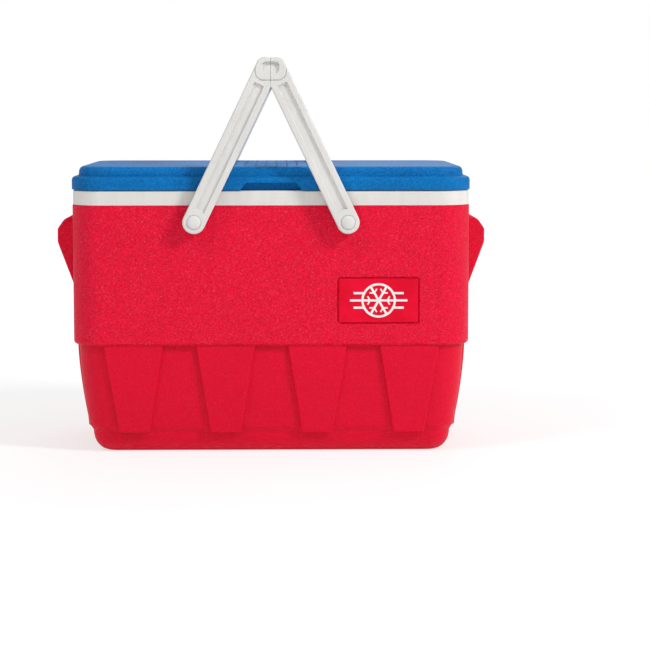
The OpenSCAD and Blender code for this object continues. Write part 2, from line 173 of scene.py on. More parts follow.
# Handles
PIVOT_X = (pin_low.x + pin_high.x) / 2
PIVOT_Z = (pin_low.z + pin_high.z) / 2
GRIP_R = 14.8
TOP_Z = grip_top.z
GRIP_Z = TOP_Z - GRIP_R
ARM_W = 25
ARM_T = 9
ARM_GAP = 5
ARM_END_X = 5.5
ARM_SOFT = 1.9
ARM_BACK_SOFT = 0.8
ARM_TOP_R = 8
ARM_PAST = 12
SHORT_OF_ROUND = 0.3
PARTING = 0.3
BOSS_LOW = 9.7
BOSS_OUT = 16.3
BOSS_H = 0.8
BOSS_R = 8.5
BOSS_SOFT = 0.9
BOSS_T = 5
BOSS_TRIM = 0.07
BOSS_GROOVE = 1.0
POCKET_OUT = 9.6
POCKET_LOW = -3.7
POCKET_HIGH = 9.7
POCKET_DEEP = 2.6
POCKET_LOW_R = 6.3
POCKET_HIGH_R = 4.6
POCKET_TILT = 8
POCKET_MID = 3
CUT_PAST = 6
CUT_SOFT = 0.8
CHANNEL_W = 12
CHANNEL_DEEP = 2.4
CHANNEL_R = 1.5
CHANNEL_HUB_GAP = 2.3
CHANNEL_HEAD_GAP = 15.7
PIN_R = 5
HEAD_R = 7.6
HEAD_SINK = 2.2
HEAD_RISE = 2
HEAD_DOME = 1.9
HEAD_GAP = 0.15
HEAD_FLARE = 0.75
PIN_GAP = 0.3
PIN_TIP = 0.6
SOCKET_DEEP = 15

# Badge
BADGE_X = (plate_low.x + plate_high.x) / 2
BADGE_Z = (plate_low.z + plate_high.z) / 2
PLATE_W = plate_high.x - plate_low.x
PLATE_H = plate_high.z - plate_low.z
BADGE_GROOVE = 2
BADGE_SINK = 1.5
BADGE_PROUD = 0.3
BADGE_R = 2.6
BADGE_SOFT = 0.4
RECESS_R = 4

# Where the red grain changes, and how far up the foot is scuffed
GRAIN_BLEND = 0.5
SCUFF_FULL = 1
SCUFF_END = 14

# Fineness of curves and of meshes
ROUND_STEPS = 10
SAME = 1e-4
TINY = 0.01


# ---------------------------------------------------------------------------
# Shaping
# ---------------------------------------------------------------------------
def bend(start, stop, first, steps=5):
    """Quarter curve of (height, inset) levels that sets off level or upright."""
    levels = []
    for k in range(steps + 1):
        angle = math.radians(90 * k / steps)
        early, late = math.sin(angle), 1 - math.cos(angle)
        up, across = (late, early) if first == "level" else (early, late)
        levels.append((start[0] + (stop[0] - start[0]) * up,
                       start[1] + (stop[1] - start[1]) * across))
    return levels


def profile(*parts):
    """One list of levels from single levels and bends, without repeats."""
    levels = []
    for part in parts:
        for level in (part if isinstance(part, list) else [part]):
            if not levels or abs(level[0] - levels[-1][0]) + abs(level[1] - levels[-1][1]) > TINY:
                levels.append(level)
    return levels


def plan_face(form, z, inset):
    """Rounded rectangle at height z that stands in from the body's walls by inset."""
    corners = bmesh.ops.create_grid(form, x_segments=1, y_segments=1, size=1)["verts"]
    bmesh.ops.scale(form, vec=(HALF_W - inset, HALF_D - inset, 1), verts=corners)
    bmesh.ops.translate(form, vec=(0, 0, z), verts=corners)
    radius = max(PLAN_R - CORNER_FOLLOW * inset, SMALLEST_R)
    rounded = bmesh.ops.bevel(form, geom=corners, offset=radius, offset_type="OFFSET",
                              segments=ROUND_STEPS, profile=0.5, affect="VERTICES", material=-1)
    return rounded["verts"][0].link_faces[0]


def tower(levels):
    """Closed form through a list of (height, inset) levels."""
    form = bmesh.new()
    faces = [plan_face(form, z, inset) for z, inset in levels]
    rings = [list(face.edges) for face in faces]
    bmesh.ops.delete(form, geom=faces[1:-1], context="FACES_ONLY")
    for lower, upper in zip(rings, rings[1:]):
        bmesh.ops.bridge_loops(form, edges=lower + upper)
    bmesh.ops.recalc_face_normals(form, faces=form.faces)
    return form


def slab(corners, depth, soft=0.0, soft_back=0.0, steps=5):
    """Flat plate from (x, y, radius) corners, with its back at Z 0 and its face at depth."""
    form = bmesh.new()
    points = [form.verts.new((x, y, 0)) for x, y, _ in corners]
    form.faces.new(points)
    for k, (x, y, radius) in enumerate(corners):
        if not radius:
            continue
        before = Vector(corners[k - 1][:2])
        after = Vector(corners[(k + 1) % len(corners)][:2])
        here = Vector((x, y))
        swing = (here - before).angle(after - here)
        bmesh.ops.bevel(form, geom=[points[k]], offset=radius * math.tan(swing / 2),
                        offset_type="OFFSET", segments=max(2, round(steps * swing / 0.8)),
                        profile=0.5, affect="VERTICES", material=-1)
    raised = bmesh.ops.extrude_face_region(form, geom=form.faces[:], use_keep_orig=True)["geom"]
    top = [v for v in raised if isinstance(v, bmesh.types.BMVert)]
    bmesh.ops.translate(form, vec=(0, 0, depth), verts=top)
    bmesh.ops.recalc_face_normals(form, faces=form.faces)
    for height, width in ((depth, soft), (0, soft_back)):
        if width:
            rim = [e for e in form.edges if all(abs(v.co.z - height) < SAME for v in e.verts)]
            bmesh.ops.bevel(form, geom=rim, offset=width, offset_type="OFFSET", segments=3,
                            profile=0.5, affect="EDGES", material=-1, clamp_overlap=True)
    return form


def block(low, high, soft=0.0):
    """Box between two corners with softened edges."""
    form = bmesh.new()
    bmesh.ops.create_cube(form, size=1)
    low, high = Vector(low), Vector(high)
    bmesh.ops.scale(form, vec=high - low, verts=form.verts)
    bmesh.ops.translate(form, vec=(low + high) / 2, verts=form.verts)
    if soft:
        bmesh.ops.bevel(form, geom=form.edges[:], offset=soft, offset_type="OFFSET", segments=3,
                        profile=0.5, affect="EDGES", material=-1, clamp_overlap=True)
    return form


def turned(outline, steps=48):
    """Form turned on a lathe from (radius, height) points, about Z."""
    form = bmesh.new()
    points = [form.verts.new((radius, 0, z)) for radius, z in outline]
    edges = [form.edges.new(pair) for pair in zip(points, points[1:])]
    bmesh.ops.spin(form, geom=points + edges, cent=(0, 0, 0), axis=(0, 0, 1), dvec=(0, 0, 0),
                   angle=math.tau, steps=steps, use_merge=True, use_duplicate=False)
    bmesh.ops.remove_doubles(form, verts=form.verts, dist=SAME)
    bmesh.ops.recalc_face_normals(form, faces=form.faces)
    return form


def placed(form, place):
    """Moves a form, and turns its faces back outwards where the move mirrors it."""
    bmesh.ops.transform(form, matrix=place, verts=form.verts)
    if place.determinant() < 0:
        bmesh.ops.reverse_faces(form, faces=form.faces)
    return form


def gather(forms):
    """Puts several forms into one."""
    whole = bmesh.new()
    for form in forms:
        mesh = bpy.data.meshes.new("form")
        form.to_mesh(mesh)
        form.free()
        whole.from_mesh(mesh)
        bpy.data.meshes.remove(mesh)
    return whole


def move(x=0, y=0, z=0):
    """Place that is shifted in millimetres."""
    return Matrix.Translation((x, y, z))


def turn(degrees, axis):
    """Place that is turned about an axis through the origin."""
    return Matrix.Rotation(math.radians(degrees), 4, axis)


def mirrored(x=1, y=1):
    """Place that changes sides where x or y is -1."""
    return Matrix.Diagonal((x, y, 1, 1))


def on_wall(x=0, out=0, z=0, side=-1):
    """Place on the front wall, or the back wall for side 1, where local Z points outwards."""
    front = move(x, -HALF_D - out, z) @ turn(90, "X")
    return front if side < 0 else mirrored(y=-1) @ front


def piece_from(name, form):
    """Turns a form in millimetres into an object in metres."""
    bmesh.ops.scale(form, vec=(MM, MM, MM), verts=form.verts)
    mesh = bpy.data.meshes.new(name)
    form.to_mesh(mesh)
    form.free()
    piece = bpy.data.objects.new(name, mesh)
    bpy.context.scene.collection.objects.link(piece)
    return piece


def form_from(piece):
    """Takes a helper piece out of the scene again, as a form in millimetres."""
    form = bmesh.new()
    form.from_mesh(piece.data)
    bmesh.ops.scale(form, vec=(1 / MM, 1 / MM, 1 / MM), verts=form.verts)
    bpy.data.objects.remove(piece)
    return form


def carve(piece, form, operation="DIFFERENCE"):
    """Cuts a form out of a piece, welds it on with UNION, or keeps what both share."""
    tool = piece_from("tool", form)
    cut = piece.modifiers.new("cut", "BOOLEAN")
    cut.operation, cut.solver, cut.object = operation, "MANIFOLD", tool
    graph = bpy.context.evaluated_depsgraph_get()
    shaped = bpy.data.meshes.new_from_object(piece.evaluated_get(graph))
    piece.modifiers.clear()
    spare, piece.data = piece.data, shaped
    shaped.name = piece.name
    tool_mesh = tool.data
    bpy.data.objects.remove(tool)
    for mesh in (spare, tool_mesh):
        bpy.data.meshes.remove(mesh)


def complete(piece, finish, body, nodes, sharp=32):
    """Gives a piece its finish, shading and body, and hides the CAD nodes it stands in for."""
    mesh = piece.data
    form = bmesh.new()
    form.from_mesh(mesh)
    bmesh.ops.dissolve_degenerate(form, dist=TINY * MM, edges=form.edges)
    form.to_mesh(mesh)
    form.free()
    mesh.materials.clear()
    mesh.materials.append(finish)
    mesh.shade_smooth()
    mesh.set_sharp_from_angle(angle=math.radians(sharp))
    even = piece.modifiers.new("even shading", "WEIGHTED_NORMAL")
    even.keep_sharp = True
    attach(piece, body)
    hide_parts(*nodes)


# ---------------------------------------------------------------------------
# Finishes
# ---------------------------------------------------------------------------
class Wire:
    """An output of a node that sums can be written on."""

    def __init__(self, tree, socket=None):
        self.tree, self.socket = tree, socket

    def add(self, kind, settings=None, sockets=None, out=0):
        """Adds a node, sets it up, joins its sockets and returns one of its outputs."""
        node = self.tree.nodes.new(kind)
        for name, value in (settings or {}).items():
            setattr(node, name, value)
        for name, value in (sockets or {}).items():
            if isinstance(value, Wire):
                self.tree.links.new(value.socket, node.inputs[name])
            else:
                node.inputs[name].default_value = value
        return Wire(self.tree, node.outputs[out]) if node.outputs else None

    def sum(self, operation, first, second=0.0):
        """Adds a Math node on two values."""
        return self.add("ShaderNodeMath", {"operation": operation}, {0: first, 1: second})

    def __add__(self, other):
        return self.sum("ADD", self, other)

    def __radd__(self, other):
        return self.sum("ADD", other, self)

    def __sub__(self, other):
        return self.sum("SUBTRACT", self, other)

    def __rsub__(self, other):
        return self.sum("SUBTRACT", other, self)

    def __mul__(self, other):
        return self.sum("MULTIPLY", self, other)

    def __rmul__(self, other):
        return self.sum("MULTIPLY", other, self)

    def __abs__(self):
        return self.sum("ABSOLUTE", self)

    def between(self, low, high):
        """Smooth 0 to 1 while the value goes from low to high."""
        return self.add("ShaderNodeMapRange", {"interpolation_type": "SMOOTHSTEP"},
                        {"Value": self, "From Min": low, "From Max": high})

    def noise(self, scale, detail=2.0, rough=0.5, swirl=0.0):
        """Cloudy pattern on this place, with its size in 1 per metre."""
        return self.add("ShaderNodeTexNoise", {}, {
            "Vector": self, "Scale": scale, "Detail": detail, "Roughness": rough,
            "Distortion": swirl})

    def cells(self, scale):
        """Distance to the nearest of many scattered points."""
        return self.add("ShaderNodeTexVoronoi", {}, {"Vector": self, "Scale": scale})

    def stretched(self, x=1.0, y=1.0, z=1.0):
        """Place in which a pattern runs long where a factor is small."""
        return self.add("ShaderNodeMapping", {}, {"Vector": self, "Scale": (x, y, z)})

    def part(self, letter):
        """One of the three numbers of this place."""
        return self.add("ShaderNodeSeparateXYZ", {}, {0: self}, letter)

    def tint(self, first, second):
        """Colour that goes from first to second as this mask goes from 0 to 1."""
        return self.add("ShaderNodeMix", {"data_type": "RGBA"},
                        {0: self, 6: first, 7: second}, 2)

    def relief(self, distance, strength=1.0):
        """Normal of a surface whose height this value is."""
        return self.add("ShaderNodeBump", {},
                        {"Height": self, "Strength": strength, "Distance": distance})


def rgb(red, green, blue):
    """Opaque colour."""
    return red, green, blue, 1.0


def new_finish(name):
    """Empty material and the place on the object that its patterns read."""
    finish = bpy.data.materials.new(name)
    finish.use_nodes = True
    finish.node_tree.nodes.clear()
    return finish, Wire(finish.node_tree).add("ShaderNodeTexCoord", out="Object")


def skin(place, sockets):
    """Surface shader with the given sockets, joined to the material's output."""
    surface = place.add("ShaderNodeBsdfPrincipled", {}, sockets)
    place.add("ShaderNodeOutputMaterial", {}, {"Surface": surface})


def crinkles(place, scale, width, swirl):
    """Curved strokes, 1 on a stroke and 0 between them."""
    swell = place.noise(scale, 1.5, 0.55, swirl)
    return 1 - abs(swell - 0.5).between(0.0, width)


def red_shell_finish():
    """Coarse crinkled grain above the step, finer grain below it, scuffs at the foot, and painted
    highlights: pale glint strokes and specks, and a lighter tone on the grain's crest.
    """
    finish, place = new_finish("grained red plastic")
    height = place.part("Z")
    upper = height.between((STEP_Z - GRAIN_BLEND) * MM, (STEP_Z + GRAIN_BLEND) * MM)
    strokes = crinkles(place, 300, 0.11, 1.5)
    cross_strokes = crinkles(place.stretched(1.2, 1.2, 0.8), 460, 0.1, 1.0)
    pebble = place.noise(800, 2.0, 0.6)
    coarse = strokes * 0.6 + cross_strokes * 0.4 + pebble * 0.35
    fine = pebble * 0.7 + place.noise(1500, 2.0, 0.6) * 0.3
    grain = upper * coarse + (1 - upper) * fine
    clouds = place.noise(9, 3.0, 0.6)
    patches = place.noise(480, 2.0, 0.7)
    lively = upper * 0.35 + 0.75
    # Lighter colour on the grain's crest: partly the plastic's mottled tone, partly a painted
    # highlight.
    crest_tone_and_highlight = (strokes * 0.4 + cross_strokes * 0.35) * upper + pebble * 0.45
    mottled = (crest_tone_and_highlight + patches * 0.6 - 0.45) * lively
    shade = (mottled + clouds * 0.25 + 0.1).between(0.0, 1.0)
    colour = shade.tint(rgb(0.64, 0.0, 0.022), rgb(1.0, 0.0, 0.044))
    # Painted highlight: pale pink glint strokes and specks painted into the colour where light
    # would catch the grain.
    glint_hairs = crinkles(place.stretched(0.9, 0.9, 1.2), 250, 0.055, 2.4) * upper
    glint_specks = place.noise(1050, 1.0, 0.5).between(0.56, 0.78)
    painted_glints = (glint_hairs * patches).between(0.36, 0.7) * 0.42 + glint_specks * 0.09
    glint_painted_colour = painted_glints.tint(colour, rgb(1.0, 0.28, 0.33))
    scuff_lines = place.stretched(0.35, 0.35, 5).noise(260, 3.0, 0.7, 0.6)
    low_down = 1 - height.between(SCUFF_FULL * MM, SCUFF_END * MM)
    scuffs = low_down * scuff_lines.between(0.52, 0.72)
    worn = (scuffs * 0.35).tint(glint_painted_colour, rgb(0.80, 0.22, 0.24))
    rough = 0.42 + clouds * 0.08 + scuffs * 0.15 - grain * 0.06
    skin(place, {"Base Color": worn, "Roughness": rough, "Specular IOR Level": 0.14,
                 "Normal": grain.relief(0.0010, 0.75)})
    return finish


def blue_lid_finish():
    """Fine grain with faint streaks along the lid."""
    finish, place = new_finish("grained blue plastic")
    pebble = place.noise(850, 2.0, 0.6)
    strokes = crinkles(place, 520, 0.1, 0.8)
    clouds = place.noise(11, 3.0, 0.6)
    streaks = place.stretched(0.12, 1, 1).noise(60, 3.0, 0.6)
    grain = pebble * 0.6 + strokes * 0.35
    shade = (clouds * 0.35 + streaks * 0.25 + strokes * 0.25 + pebble * 0.6 - 0.1).between(0.3, 1.0)
    colour = shade.tint(rgb(0.0, 0.085, 0.29), rgb(0.0004, 0.25, 0.66))
    rough = 0.4 + clouds * 0.1 + pebble * 0.08
    skin(place, {"Base Color": colour, "Roughness": rough, "Specular IOR Level": 0.12,
                 "Normal": grain.relief(0.0006, 0.7)})
    return finish


def white_finish(name, base, shadow, rough_base):
    """Satin white plastic with faint flow marks and specks of dust."""
    finish, place = new_finish(name)
    clouds = place.noise(14, 3.0, 0.6)
    flow = place.stretched(1, 1, 0.2).noise(70, 3.0, 0.65, 0.8)
    speckle = place.noise(900, 2.0, 0.6)
    dust = place.cells(160).between(0.05, 0.0)
    shade = (clouds * 0.55 + flow * 0.45).between(0.3, 0.75)
    colour = shade.tint(shadow, base)
    dusted = (dust * 0.18).tint(colour, rgb(0.48, 0.46, 0.42))
    rough = rough_base + flow * 0.12 + speckle * 0.05
    skin(place, {"Base Color": dusted, "Roughness": rough, "Specular IOR Level": 0.35,
                 "Normal": (speckle * 0.6 + flow * 0.4).relief(0.00025, 0.35)})
    return finish


def badge_red_finish():
    """Smooth, slightly glossier red."""
    finish, place = new_finish("smooth red badge plastic")
    clouds = place.noise(40, 3.0, 0.6)
    speckle = place.noise(1100, 2.0, 0.6)
    colour = clouds.between(0.3, 0.7).tint(rgb(0.68, 0.0004, 0.020), rgb(0.82, 0.001, 0.032))
    skin(place, {"Base Color": colour, "Roughness": 0.3 + clouds * 0.08,
                 "Specular IOR Level": 0.12, "Normal": speckle.relief(0.00015, 0.3)})
    return finish


def badge_print_finish():
    """White ink with fine pores."""
    finish, place = new_finish("white badge print")
    clouds = place.noise(120, 3.0, 0.6)
    pores = place.noise(1500, 2.0, 0.6)
    colour = (clouds * 0.6 + pores * 0.4).between(0.3, 0.7).tint(
        rgb(0.80, 0.74, 0.72), rgb(0.92, 0.90, 0.88))
    skin(place, {"Base Color": colour, "Roughness": 0.4 + pores * 0.1,
                 "Normal": pores.relief(0.0001, 0.3)})
    return finish


def foam_finish():
    """Yellowish foam beads."""
    finish, place = new_finish("insulating foam")
    beads = place.cells(420)
    clouds = place.noise(25, 3.0, 0.6)
    colour = (beads * 0.6 + clouds * 0.5).between(0.2, 0.8).tint(
        rgb(0.78, 0.66, 0.38), rgb(0.58, 0.44, 0.2))
    skin(place, {"Base Color": colour, "Roughness": 0.9, "Normal": beads.relief(-0.0008, 0.6)})
    return finish


def steel_finish():
    """Steel brushed along X."""
    finish, place = new_finish("brushed steel")
    brushing = place.stretched(0.06, 1, 1).noise(1500, 3.0, 0.7)
    clouds = place.noise(60, 3.0, 0.6)
    colour = (clouds * 0.6 + brushing * 0.4).between(0.3, 0.7).tint(
        rgb(0.47, 0.46, 0.44), rgb(0.66, 0.65, 0.63))
    skin(place, {"Base Color": colour, "Roughness": 0.26 + brushing * 0.18, "Metallic": 1.0,
                 "Normal": brushing.relief(0.00012, 0.4)})
    return finish


def floor_finish():
    """Matt floor that glows white for the camera, more so away from the middle."""
    finish, place = new_finish("studio floor")
    clouds = place.noise(1.3, 2.0, 0.5)
    colour = clouds.tint(rgb(0.93, 0.93, 0.93), rgb(0.95, 0.95, 0.95))
    matt = place.add("ShaderNodeBsdfPrincipled", {}, {
        "Base Color": colour, "Roughness": 0.9, "Specular IOR Level": 0.05})
    glow = place.add("ShaderNodeEmission", {}, {"Color": rgb(1, 1, 1), "Strength": 1.06})
    seen = place.add("ShaderNodeLightPath", out="Is Camera Ray")
    away = place.add("ShaderNodeVectorMath", {"operation": "LENGTH"}, {0: place}, "Value")
    share = seen * (away.between(0.4, 1.5) * 0.4 + 0.44) + 0.14
    surface = place.add("ShaderNodeMixShader", {}, {0: share, 1: matt, 2: glow})
    place.add("ShaderNodeOutputMaterial", {}, {"Surface": surface})
    return finish


RED = red_shell_finish()
BLUE = blue_lid_finish()
LINER_WHITE = white_finish("satin white liner", rgb(0.75, 0.735, 0.70),
                           rgb(0.67, 0.655, 0.62), 0.36)
HANDLE_WHITE = white_finish("satin white handle", rgb(0.73, 0.725, 0.70),
                            rgb(0.66, 0.655, 0.63), 0.38)
BADGE_RED = badge_red_finish()
BADGE_PRINT = badge_print_finish()
FOAM = foam_finish()
STEEL = steel_finish()
FLOOR = floor_finish()


# ---------------------------------------------------------------------------
# Body
# ---------------------------------------------------------------------------
def wall_in(z):
    """How far the lower wall stands in at height z."""
    drop = (STEP_Z - max(z, LOWER_FOOT_Z)) / (STEP_Z - LOWER_FOOT_Z)
    chamfer = max(0.0, LOWER_FOOT_Z - z) / (LOWER_FOOT_Z - BASE_H)
    return (STEP_IN + (LOWER_IN - STEP_IN) * max(drop, 0) ** LOWER_CURVE
            + (BASE_IN - LOWER_IN) * chamfer)


def shell_wall():
    """The body's wall from its foot up to its top edge and down inside."""
    steps = 9
    rise = [(z, wall_in(z)) for z in (
        LOWER_FOOT_Z + (STEP_Z - LOWER_FOOT_Z) * k / steps for k in range(steps + 1))]
    edge = SHELL_EDGE_R
    return tower(profile(
        bend((0, FOOT_IN), (BASE_H - BASE_CREASE_H, BASE_IN), "level", 8),
        (BASE_H, BASE_IN - BASE_CREASE_IN),
        (LOWER_FOOT_Z - FOOT_CREASE_H, LOWER_IN + FOOT_CREASE_IN),
        rise,
        (STEP_Z, STEP_R), bend((STEP_Z, STEP_R), (STEP_Z + STEP_R, 0), "level", 5),
        (STEP_Z + 2 * STEP_R, 0),
        (SHELL_Z - edge, 0), bend((SHELL_Z - edge, 0), (SHELL_Z, edge), "upright", 3),
        (SHELL_Z, WALL), (STEP_Z + STEP_R + WALL, WALL), (STEP_Z - WALL, STEP_IN + WALL),
        (LOWER_FOOT_Z + WALL, LOWER_IN + WALL), (BASE_H, BASE_IN + WALL),
        (WALL, FOOT_IN + WALL)))


def wall_panel(reach, shift, degrees):
    """Raised panel that narrows to its foot, on a wall at distance reach."""
    form = bmesh.new()
    foot, top = BASE_H, STEP_Z + PANEL_OVERLAP
    sheet = bmesh.ops.create_grid(form, x_segments=1, y_segments=9, size=1)["verts"]
    for point in sheet:
        rise = (point.co.y + 1) / 2
        z = foot + (top - foot) * rise
        half = (PANEL_FOOT_W + (PANEL_TOP_W - PANEL_FOOT_W) * rise) / 2
        front = wall_in(max(z, LOWER_FOOT_Z)) - PANEL_PROUD
        point.co = (point.co.x * half, -(reach - front), z)
    raised = bmesh.ops.extrude_face_region(form, geom=form.faces[:], use_keep_orig=True)["geom"]
    for point in raised:
        if isinstance(point, bmesh.types.BMVert):
            point.co.y = -(reach - wall_in(point.co.z) - WALL / 2)
    bmesh.ops.recalc_face_normals(form, faces=form.faces)
    front_points = set(sheet)
    outline = [
        edge for edge in form.edges
        if edge.verts[0] in front_points and edge.verts[1] in front_points
        and (edge.verts[0].co.x * edge.verts[1].co.x > 0 or edge.verts[0].co.z < foot + 1)
        and edge.verts[0].co.z + edge.verts[1].co.z < 2 * top - 0.1]
    bmesh.ops.bevel(form, geom=outline, offset=PANEL_SOFT, offset_type="OFFSET", segments=3,
                    profile=0.5, affect="EDGES", material=-1, clamp_overlap=True)
    return placed(form, turn(degrees, "Z") @ move(x=shift))


def on_end(width, side):
    """Place of a profile that runs along an end wall, across the middle."""
    return mirrored(x=side) @ move(HALF_W, width / 2, 0) @ turn(90, "X")


def ear(side):
    """Solid ear on an end wall."""
    root = -WALL / 2
    outline = [(root, EAR_LOW_Z, 0), (EAR_OUT, EAR_MID_Z, EAR_BEND_R),
               (EAR_OUT, EAR_SIDE_Z, EAR_NOSE_R),
               (EAR_SHOULDER_OUT, EAR_SHOULDER_Z, EAR_BEND_R), (root, EAR_TOP_Z, 0)]
    form = slab(outline, EAR_W, soft=EAR_SOFT, soft_back=EAR_SOFT)
    return placed(form, on_end(EAR_W, side))


def ear_pocket(side):
    """Pocket for the fingers under an ear's lip."""
    inner = EAR_OUT - EAR_LIP_T
    low, out = EAR_LOW_Z - EAR_POCKET_PAST, EAR_OUT + EAR_POCKET_PAST
    outline = [(0, low, 0), (out, low, 0), (out, EAR_LIP_Z, 0),
               (inner, EAR_LIP_Z, EAR_LIP_R), (inner, EAR_POCKET_Z, EAR_POCKET_R),
               (TINY, EAR_POCKET_Z, EAR_POCKET_R)]
    width = EAR_W - 2 * EAR_CHEEK
    form = slab(outline, width, soft=EAR_POCKET_SOFT, soft_back=EAR_POCKET_SOFT)
    return placed(form, on_end(width, side))


def plate(width, height, radius, depth, soft=0.0):
    """Rounded rectangular plate about the middle."""
    x, y = width / 2, height / 2
    corners = [(-x, -y, radius), (x, -y, radius), (x, y, radius), (-x, y, radius)]
    return slab(corners, depth, soft=soft)


def make_shell():
    """Red body shell with its panels, ears and badge recess."""
    shell = piece_from("red_body_shell", shell_wall())
    fronts = [(i - 1.5) * PANEL_PITCH for i in range(4)]
    ends = [(i - 0.5) * PANEL_PITCH for i in range(2)]
    panels = [wall_panel(HALF_D, shift, degrees) for degrees in (0, 180) for shift in fronts]
    panels += [wall_panel(HALF_W, shift, degrees) for degrees in (90, 270) for shift in ends]
    carve(shell, gather(panels), "UNION")
    for side in (-1, 1):
        lug = piece_from("ear", ear(side))
        carve(lug, ear_pocket(side))
        carve(shell, form_from(lug), "UNION")
    recess = plate(PLATE_W + 2 * BADGE_GROOVE, PLATE_H + 2 * BADGE_GROOVE, RECESS_R,
                   BADGE_SINK + 2)
    carve(shell, placed(recess, on_wall(BADGE_X, -BADGE_SINK, BADGE_Z)))
    complete(shell, RED, "chest", ["outer_shell"])


def make_liner():
    """White tub with its rolled rim and the collar band round the body's top."""
    t = LINER_T
    liner = piece_from("white_liner", tower(profile(
        bend((FLOOR_Z - t, TUB_LOW_IN + TUB_FILLET - t),
             (FLOOR_Z + TUB_FILLET - t, TUB_LOW_IN - t), "level", 6),
        (RIM_Z - t, MOUTH_IN - t), (RIM_Z - t, COLLAR_IN + t), (SHELL_Z, COLLAR_IN + t),
        (SHELL_Z, COLLAR_IN), (RIM_Z - RIM_R, COLLAR_IN),
        bend((RIM_Z - RIM_R, COLLAR_IN), (RIM_Z, COLLAR_IN + RIM_R), "upright", 4),
        (RIM_Z, MOUTH_IN - RIM_R),
        bend((RIM_Z, MOUTH_IN - RIM_R), (RIM_Z - RIM_R, MOUTH_IN), "level", 4),
        (FLOOR_Z + TUB_FILLET, TUB_LOW_IN),
        bend((FLOOR_Z + TUB_FILLET, TUB_LOW_IN), (FLOOR_Z, TUB_LOW_IN + TUB_FILLET),
             "upright", 6))))
    complete(liner, LINER_WHITE, "chest", ["inner_liner"])


def make_badge():
    """Red badge plate, set in the recess."""
    badge = piece_from("badge_plate_red", placed(
        plate(PLATE_W, PLATE_H, BADGE_R, BADGE_SINK + BADGE_PROUD, soft=BADGE_SOFT),
        on_wall(BADGE_X, -BADGE_SINK, BADGE_Z)))
    complete(badge, BADGE_RED, "chest", ["badge_plate"])


# ---------------------------------------------------------------------------
# Lid
# ---------------------------------------------------------------------------
def notch(grow):
    """Finger notch in the front of the lid's band, grown on its hidden sides."""
    foot, top, height = NOTCH_FOOT + grow, NOTCH_TOP + grow, NOTCH_H + grow
    soft, deep = NOTCH_R + grow, NOTCH_DEEP + grow
    outline = [(-foot, -3, 0), (foot, -3, 0), (top, height, soft), (-top, height, soft)]
    return placed(slab(outline, deep + 6), on_wall(0, -deep, LID_Z))


def make_lid_cap():
    """Blue lid from outside: band, tier, finger notch and grooves, hollow inside."""
    lip, crease, lean = LID_LIP_R, TIER_CREASE_R, TIER_IN + TIER_LEAN
    cap = piece_from("blue_lid_cap", tower(profile(
        bend((LID_Z, lip - LID_OVER), (LID_Z + lip, -LID_OVER), "level", 3),
        (TIER_Z - BAND_R, -LID_OVER),
        bend((TIER_Z - BAND_R, -LID_OVER), (TIER_Z, BAND_R - LID_OVER), "upright", 6),
        bend((TIER_Z, TIER_IN - crease), (TIER_Z + crease, TIER_IN), "level", 3),
        (LID_TOP - TIER_R, lean),
        bend((LID_TOP - TIER_R, lean), (LID_TOP, lean + TIER_R), "upright", 6),
        (LID_TOP, TIER_IN + TIER_R + 3))))
    hollow = piece_from("hollow", tower([
        (LID_Z - 2, LID_T - LID_OVER), (TIER_Z - BAND_R, LID_T - LID_OVER),
        (TIER_Z - LID_T, TIER_IN + LID_T), (LID_TOP - TIER_R, TIER_IN + LID_T),
        (LID_TOP - LID_T, TIER_IN + LID_T + TIER_R / 2)]))
    carve(hollow, notch(LID_T))
    carve(cap, form_from(hollow))
    carve(cap, notch(0))
    half = GROOVE_W / 2
    carve(cap, gather([
        block((x - half, -GROOVE_REACH, LID_TOP - GROOVE_DEPTH),
              (x + half, GROOVE_REACH, LID_TOP + 3), soft=GROOVE_SOFT)
        for x in ((k - (GROOVES - 1) / 2) * GROOVE_PITCH for k in range(GROOVES))]))
    complete(cap, BLUE, "lid", ["lid_cap"])


def star_plate(z):
    """Four-pointed star with hollow sides, raised on the lid's underside."""
    reach_x = HALF_W - RIDGE_IN - RIDGE_W - STAR_CLEAR
    reach_y = HALF_D - RIDGE_IN - RIDGE_W - STAR_CLEAR
    spread_x = math.sqrt(reach_x ** 2 - STAR_WAIST_X ** 2)
    spread_y = math.sqrt(reach_y ** 2 - STAR_WAIST_Y ** 2)
    right, back, left, front = [], [], [], []
    for k in range(2 * STAR_STEPS):
        t = k / STAR_STEPS - 1
        hollow_x = math.hypot(STAR_WAIST_X, t * spread_x)
        hollow_y = math.hypot(STAR_WAIST_Y, t * spread_y)
        right.append((hollow_x, t * reach_y, 0))
        back.append((-t * reach_x, hollow_y, 0))
        left.append((-hollow_x, -t * reach_y, 0))
        front.append((t * reach_x, -hollow_y, 0))
    return placed(slab(right + back + left + front, STAR_T), move(z=z))


